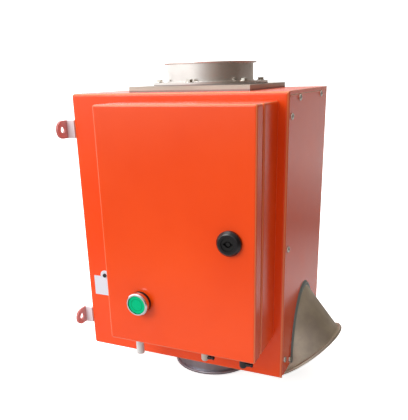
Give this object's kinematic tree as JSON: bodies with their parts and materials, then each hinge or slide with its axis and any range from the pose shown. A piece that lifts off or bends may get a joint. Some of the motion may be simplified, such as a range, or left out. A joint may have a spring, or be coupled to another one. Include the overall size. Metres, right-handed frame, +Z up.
{
  "type": "metal separator",
  "caption": "Free-fall metal separator: box housing with coil and scan tube, top and bottom spigots, slanting reject chute with flap, and a control box with a hinged door.",
  "frame": {"origin": "on the product axis at the housing's underside", "axes": "+Z up along the product axis, -Y out of the control box's door, +X to the reject chute"},
  "size_m": [0.3734, 0.322, 0.4564],
  "materials": {
    "powder_orange": "gloss powder coat",
    "stainless": "fine brushed",
    "zinc": "zinc plated",
    "chrome_parts": "polished",
    "white_gasket": "smooth",
    "black_rubber": "matt",
    "grey_seal": "smooth",
    "white_plastic": "smooth",
    "grey_plastic": "fine texture",
    "black_plastic": "fine texture",
    "green_lens": "clear gloss",
    "copper": "enamelled wire",
    "alu": "anodised",
    "orange_plastic": "resin"
  },
  "bodies": {
    "housing": {"housing_shell": "powder_orange", "side_cover": "powder_orange", "side_cover_screws": "stainless", "chute_seal": "grey_seal", "wall_brackets": "powder_orange", "wall_bracket_screws": "powder_orange", "inlet_gaskets": "white_gasket", "inlet_base_plate": "stainless", "inlet_spigot": "stainless", "inlet_bolts": "stainless", "scan_tube": "white_plastic", "coil_housing": "grey_plastic", "coil_lid": "grey_plastic", "coil_former": "orange_plastic", "coil_windings": "copper", "coil_rails": "stainless", "coil_screws": "stainless", "diverter_duct": "stainless", "outlet_spigot": "stainless", "reject_chute": "stainless", "duct_screws": "stainless", "chute_bolts": "stainless", "flap_bearings": "alu", "cylinder_bracket": "zinc", "cylinder_tube": "stainless", "cylinder_caps": "alu", "cylinder_nut": "zinc", "control_box": "powder_orange", "gutter_frame": "powder_orange", "box_screws": "stainless", "box_hinge_leaves": "zinc", "hinge_pins": "stainless", "mounting_plate": "zinc", "terminal_rail": "zinc", "terminal_blocks": "grey_plastic", "evaluation_unit": "alu", "power_supply": "grey_plastic", "solenoid_valve": "alu", "cable_gland": "grey_plastic", "elbow_fittings": "chrome_parts", "cable_grommet": "black_rubber", "tag_plate": "white_plastic", "tag_screw": "black_plastic"},
    "door": {"control_door": "powder_orange", "door_gasket": "black_rubber", "door_hinge_leaves": "zinc", "lock_collar": "black_plastic", "door_nuts": "zinc", "button_bezel": "chrome_parts", "button_seal": "black_rubber", "button_contact_block": "grey_plastic"},
    "lock": {"lock_insert": "black_plastic", "lock_cam": "zinc"},
    "button": {"button_lens": "green_lens"},
    "flap": {"flap_plate": "stainless", "flap_shaft": "stainless", "flap_lever": "stainless"},
    "rod": {"piston_rod": "chrome_parts", "rod_fork": "zinc", "fork_pin": "zinc"}
  },
  "joints": [
    {"name": "door_hinge", "type": "hinge", "parent": "housing", "child": "door", "pos_m": [-0.0706, -0.1662, 0.211], "axis": [0, 0, -1], "range_deg": [0, 120]},
    {"name": "lock_turn", "type": "hinge", "parent": "door", "child": "lock", "pos_m": [0.098, -0.187, 0.21], "axis": [0, -1, 0], "range_deg": [0, 90]},
    {"name": "button_push", "type": "slide", "parent": "door", "child": "button", "axis": [0, 1, 0], "range_m": [0, 0.003], "stiffness_N_per_m": 600, "springref_m": -0.002},
    {"name": "flap_swing", "type": "hinge", "parent": "housing", "child": "flap", "pos_m": [0.052, 0, 0.018], "axis": [0, -1, 0], "range_deg": [0, 40]},
    {"name": "rod_slide", "type": "slide", "parent": "housing", "child": "rod", "axis": [-1, 0, 0], "range_m": [0, 0.02476]}
  ],
  "couplings": [
    {"joint": "rod_slide", "follows": "flap_swing", "m_per_rad": 0.03545}
  ]
}
